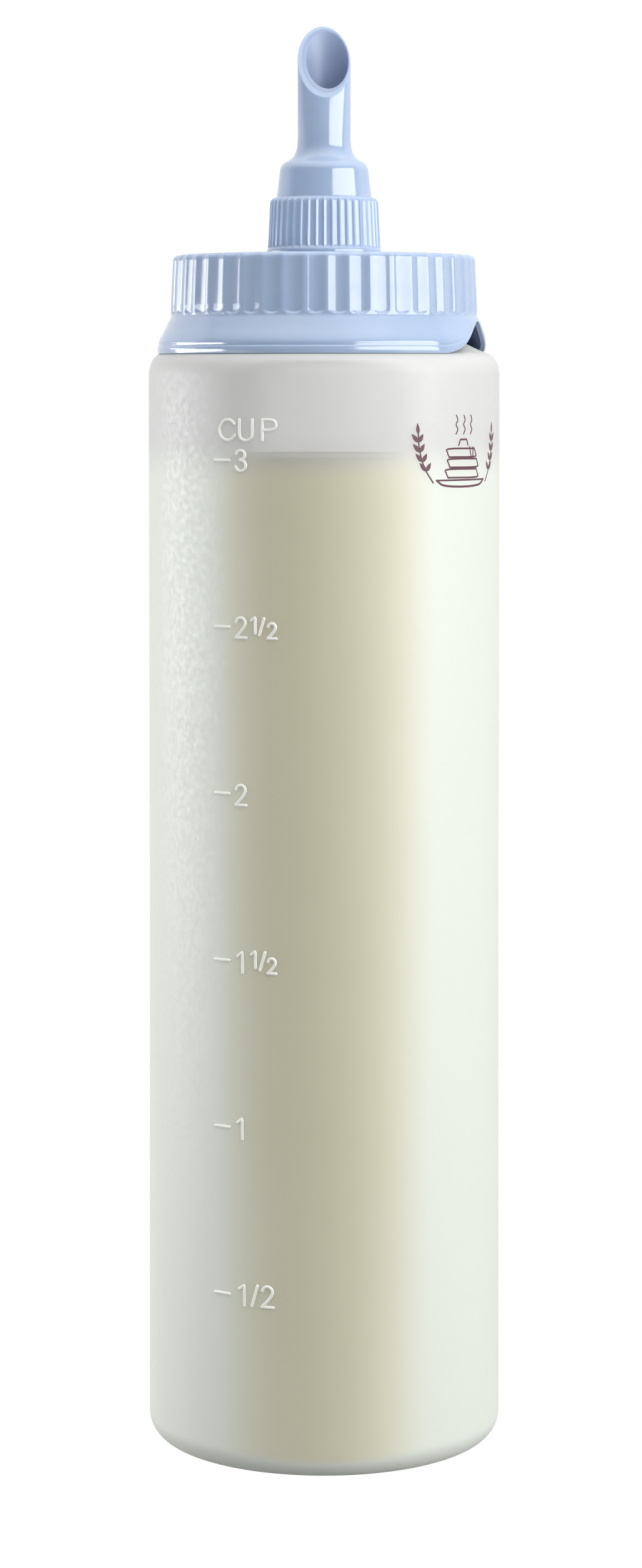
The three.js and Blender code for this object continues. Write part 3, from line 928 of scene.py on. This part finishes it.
# Each lamp's azimuth, distance, height, size, height aimed at, radiance, and whether it is mirrored
LAMPS = {
    "left_low": (-97, 1.0, 0.125, (0.9, 0.23), 0.125, 8.0, True),
    "left_high": (-114, 1.0, 0.285, (0.6, 0.08), 0.285, 3.5, True),
    "front": (38, 0.95, 1.2, (0.8, 0.6), 0.15, 3.6, False),
}
SKY = {"Y": (-0.1, 0.3, 0.05, 1.0), "Z": (0.35, 0.85, 0.0, 1.6)}  # brightness over a direction
FLOOR_HALF = 3.0
FLOOR_Z = -0.0002
FLOOR_SHADE = (-0.15, 0.03, 0.15, 1.0)  # how bright the floor is in reflections, front to back
SIDE_SHARE = 0.7


def lamp(name, centre, size, target, radiance, mirrored):
    """A soft rectangular light at centre, aimed at target; sizes in metres."""
    data = bpy.data.lights.new(name, "AREA")
    data.shape = "RECTANGLE"
    data.size, data.size_y = size
    data.energy = radiance * math.pi * size[0] * size[1]
    light = bpy.data.objects.new(name, data)
    bpy.context.scene.collection.objects.link(light)
    light.location = centre
    light.visible_glossy = mirrored
    way = np.array(target) - np.array(centre)
    yaw = math.atan2(way[1], way[0]) - math.pi / 2
    pitch = math.atan2(way[2], math.hypot(way[0], way[1]))
    light.rotation_euler = (math.pi / 2 + pitch, 0, yaw)


def around_axis(azimuth, distance, z):
    """A point at an azimuth from the front, at a distance from the bottle's axis."""
    a = math.radians(azimuth)
    return distance * math.sin(a), -distance * math.cos(a), z


def make_lights():
    """A large window of three panes, whose two bars show in the cap, and softer lamps."""
    for name, low, high in WINDOW_PANES:
        middle = (low + high) / 2
        centre = around_axis(WINDOW_AZ, WINDOW_AWAY, middle)
        size = (WINDOW_WIDTH, high - low)
        lamp(f"window_{name}", centre, size, (0, 0, middle), WINDOW_LIGHT, True)
    for name, (azimuth, away, z, size, aim, radiance, mirrored) in LAMPS.items():
        lamp(name, around_axis(azimuth, away, z), size, (0, 0, aim), radiance, mirrored)


def make_world():
    """Dim behind the camera and white behind the bottle, with a bright ceiling."""
    world = bpy.data.worlds.new("studio")
    bpy.context.scene.world = world
    world.use_nodes = True
    nodes, links = world.node_tree.nodes, world.node_tree.links
    nodes.clear()
    coords = nodes.new("ShaderNodeTexCoord")
    split = nodes.new("ShaderNodeSeparateXYZ")
    links.new(coords.outputs["Generated"], split.inputs["Vector"])
    both = nodes.new("ShaderNodeMath")
    both.operation = "MAXIMUM"
    for (way, span), socket in zip(SKY.items(), both.inputs):
        links.new(map_range(world.node_tree, split.outputs[way], span), socket)
    seen = nodes.new("ShaderNodeLightPath")
    mix = nodes.new("ShaderNodeMix")
    links.new(seen.outputs["Is Camera Ray"], mix.inputs["Factor"])
    links.new(both.outputs["Value"], mix.inputs["A"])
    mix.inputs["B"].default_value = 1.0
    light = nodes.new("ShaderNodeBackground")
    light.inputs["Color"].default_value = (1, 1, 1, 1)
    links.new(mix.outputs["Result"], light.inputs["Strength"])
    out = nodes.new("ShaderNodeOutputWorld")
    links.new(light.outputs["Background"], out.inputs["Surface"])


def make_floor():
    """A pale floor that meets the background without an edge."""
    made = bpy.data.materials.new("floor_white")
    made.use_nodes = True
    nodes, links = made.node_tree.nodes, made.node_tree.links
    nodes.clear()
    seen = nodes.new("ShaderNodeLightPath")
    white = nodes.new("ShaderNodeEmission")
    coords = nodes.new("ShaderNodeTexCoord")
    split = nodes.new("ShaderNodeSeparateXYZ")
    links.new(coords.outputs["Object"], split.inputs["Vector"])
    side = nodes.new("ShaderNodeMath")
    side.operation = "ABSOLUTE"
    links.new(split.outputs["X"], side.inputs[0])
    reach = nodes.new("ShaderNodeMath")
    reach.operation = "MULTIPLY_ADD"
    links.new(side.outputs["Value"], reach.inputs[0])
    reach.inputs[1].default_value = SIDE_SHARE
    links.new(split.outputs["Y"], reach.inputs[2])
    dim = map_range(made.node_tree, reach.outputs["Value"], FLOOR_SHADE)
    mirrored = nodes.new("ShaderNodeEmission")
    links.new(dim, mirrored.inputs["Strength"])
    shader = nodes.new("ShaderNodeBsdfDiffuse")
    shader.inputs["Color"].default_value = (0.3, 0.3, 0.3, 1)
    last = shader.outputs["BSDF"]
    for ray, emission in (("Is Glossy Ray", mirrored), ("Is Camera Ray", white)):
        mix = nodes.new("ShaderNodeMixShader")
        links.new(seen.outputs[ray], mix.inputs["Fac"])
        links.new(last, mix.inputs[1])
        links.new(emission.outputs["Emission"], mix.inputs[2])
        last = mix.outputs["Shader"]
    out = nodes.new("ShaderNodeOutputMaterial")
    links.new(last, out.inputs["Surface"])
    corners = [(x * FLOOR_HALF, y * FLOOR_HALF, FLOOR_Z) for x, y in ((-1, -1), (1, -1), (1, 1), (-1, 1))]
    mesh = bpy.data.meshes.new("floor")
    mesh.from_pydata(corners, [], [(0, 1, 2, 3)])
    mesh.materials.append(made)
    floor = bpy.data.objects.new("floor", mesh)
    bpy.context.scene.collection.objects.link(floor)


make_lights()
make_world()
make_floor()
bpy.context.scene.view_settings.view_transform = "Standard"
